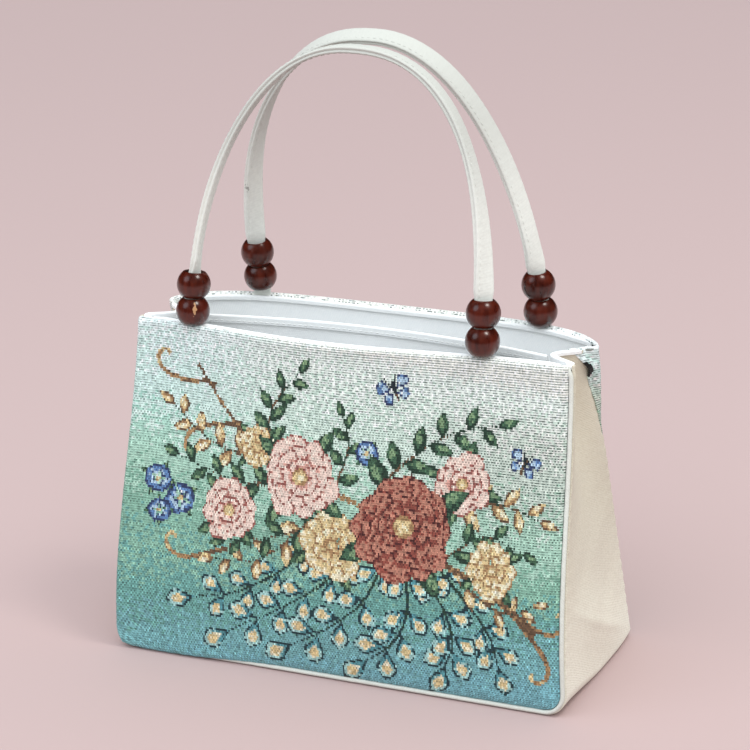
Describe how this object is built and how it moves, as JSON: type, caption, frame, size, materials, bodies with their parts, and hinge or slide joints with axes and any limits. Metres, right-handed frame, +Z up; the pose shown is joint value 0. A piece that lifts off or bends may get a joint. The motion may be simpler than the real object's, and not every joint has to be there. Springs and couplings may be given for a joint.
{
  "type": "fabric handbag",
  "caption": "Structured tapestry handbag with a canvas gusset, a lined open mouth with a divider, and arched strap handles trimmed with round wooden beads.",
  "frame": {"origin": "middle of the base, on the ground", "axes": "+X to the bag's right seen from the front, -Y to the front panel, +Z up through the handles"},
  "size_m": [0.2518, 0.1099, 0.3235],
  "materials": {
    "tapestry": "jacquard weave, fine ribs",
    "canvas": "plain cream canvas, matt",
    "lining": "smooth white cotton, matt",
    "wood": "dark stained, glossy lacquer"
  },
  "bodies": {
    "root": {"front_panel": "tapestry", "back_panel": "tapestry", "gusset": "canvas", "piping_front": "canvas", "piping_back": "canvas", "lining": "lining", "divider": "lining", "handle_front": "canvas", "handle_back": "canvas", "bead_front_left_lower": "wood", "bead_front_left_upper": "wood", "bead_front_right_lower": "wood", "bead_front_right_upper": "wood", "bead_back_left_lower": "wood", "bead_back_left_upper": "wood", "bead_back_right_lower": "wood", "bead_back_right_upper": "wood"}
  },
  "joints": []
}
